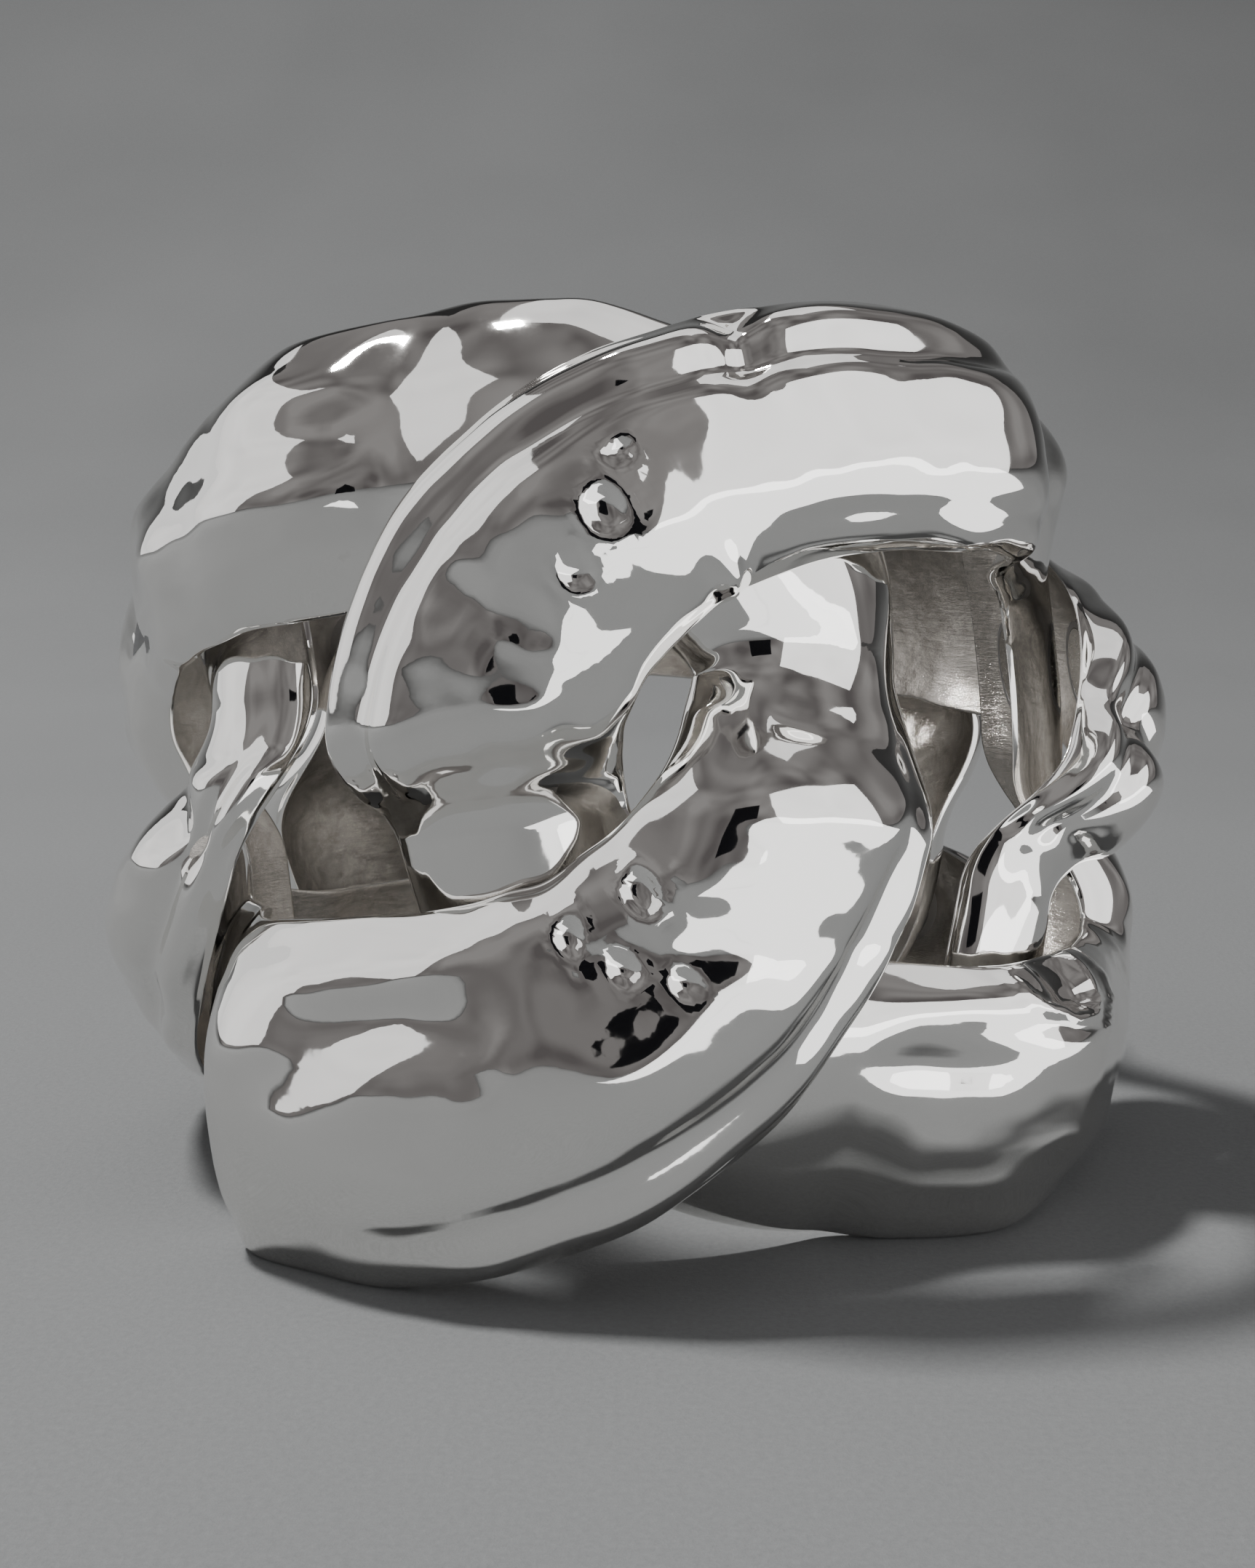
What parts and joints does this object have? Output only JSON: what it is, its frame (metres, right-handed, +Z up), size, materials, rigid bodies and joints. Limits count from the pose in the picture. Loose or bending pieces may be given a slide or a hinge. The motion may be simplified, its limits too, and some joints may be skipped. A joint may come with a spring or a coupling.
{
  "type": "linked band desk sculpture",
  "caption": "Free-standing closed band of large interlocked mirror-polished chain links with a molten surface, hollow backs and hidden disc magnets.",
  "frame": {"origin": "on the desk under the middle of the band's box", "axes": "+Z up along the band's axis, -Y towards the front crossing, +X to the right seen from the front"},
  "size_m": [0.0737, 0.072, 0.059],
  "materials": {
    "cast_metal": "mirror polished outside, left as cast in the hollow back",
    "magnet": "nickel plated",
    "keeper_steel": "drawn"
  },
  "bodies": {
    "side_left": {"side_left_link": "cast_metal", "side_left_left_upper_cup": "keeper_steel", "side_left_left_upper_magnet": "magnet", "side_left_left_lower_cup": "keeper_steel", "side_left_left_lower_magnet": "magnet", "side_left_right_upper_cup": "keeper_steel", "side_left_right_upper_magnet": "magnet", "side_left_right_lower_cup": "keeper_steel", "side_left_right_lower_magnet": "magnet"},
    "front_left": {"front_left_link": "cast_metal", "front_left_left_upper_cup": "keeper_steel", "front_left_left_upper_magnet": "magnet", "front_left_left_lower_cup": "keeper_steel", "front_left_left_lower_magnet": "magnet", "front_left_right_upper_cup": "keeper_steel", "front_left_right_upper_magnet": "magnet", "front_left_right_lower_cup": "keeper_steel", "front_left_right_lower_magnet": "magnet"},
    "front_right": {"front_right_link": "cast_metal", "front_right_left_upper_cup": "keeper_steel", "front_right_left_upper_magnet": "magnet", "front_right_left_lower_cup": "keeper_steel", "front_right_left_lower_magnet": "magnet", "front_right_right_upper_cup": "keeper_steel", "front_right_right_upper_magnet": "magnet", "front_right_right_lower_cup": "keeper_steel", "front_right_right_lower_magnet": "magnet"},
    "side_right": {"side_right_link": "cast_metal", "side_right_left_upper_cup": "keeper_steel", "side_right_left_upper_magnet": "magnet", "side_right_left_lower_cup": "keeper_steel", "side_right_left_lower_magnet": "magnet", "side_right_right_upper_cup": "keeper_steel", "side_right_right_upper_magnet": "magnet", "side_right_right_lower_cup": "keeper_steel", "side_right_right_lower_magnet": "magnet"},
    "back": {"back_link": "cast_metal", "back_left_upper_cup": "keeper_steel", "back_left_upper_magnet": "magnet", "back_left_lower_cup": "keeper_steel", "back_left_lower_magnet": "magnet", "back_right_upper_cup": "keeper_steel", "back_right_upper_magnet": "magnet", "back_right_lower_cup": "keeper_steel", "back_right_lower_magnet": "magnet"}
  },
  "joints": [
    {"name": "right_rear_hinge", "type": "hinge", "parent": "back", "child": "side_right", "pos_m": [0.01881, 0.0266, 0.0255], "axis": [0, 0, 1], "range_deg": [-0.7, 0.7]},
    {"name": "right_front_hinge", "type": "hinge", "parent": "side_right", "child": "front_right", "pos_m": [0.03043, -0.00918, 0.0255], "axis": [0, 0, 1], "range_deg": [-1.84, 1.84]},
    {"name": "left_rear_hinge", "type": "hinge", "parent": "back", "child": "side_left", "pos_m": [-0.01881, 0.0266, 0.0255], "axis": [0, 0, 1], "range_deg": [-0.7, 0.7]},
    {"name": "left_front_hinge", "type": "hinge", "parent": "side_left", "child": "front_left", "pos_m": [-0.03043, -0.00918, 0.0255], "axis": [0, 0, 1], "range_deg": [-1.84, 1.84]}
  ],
  "couplings": [
    {"joint": "right_front_hinge", "follows": "right_rear_hinge", "ratio": -2.618},
    {"joint": "left_rear_hinge", "follows": "right_rear_hinge", "ratio": -1},
    {"joint": "left_front_hinge", "follows": "right_rear_hinge", "ratio": 2.618}
  ]
}
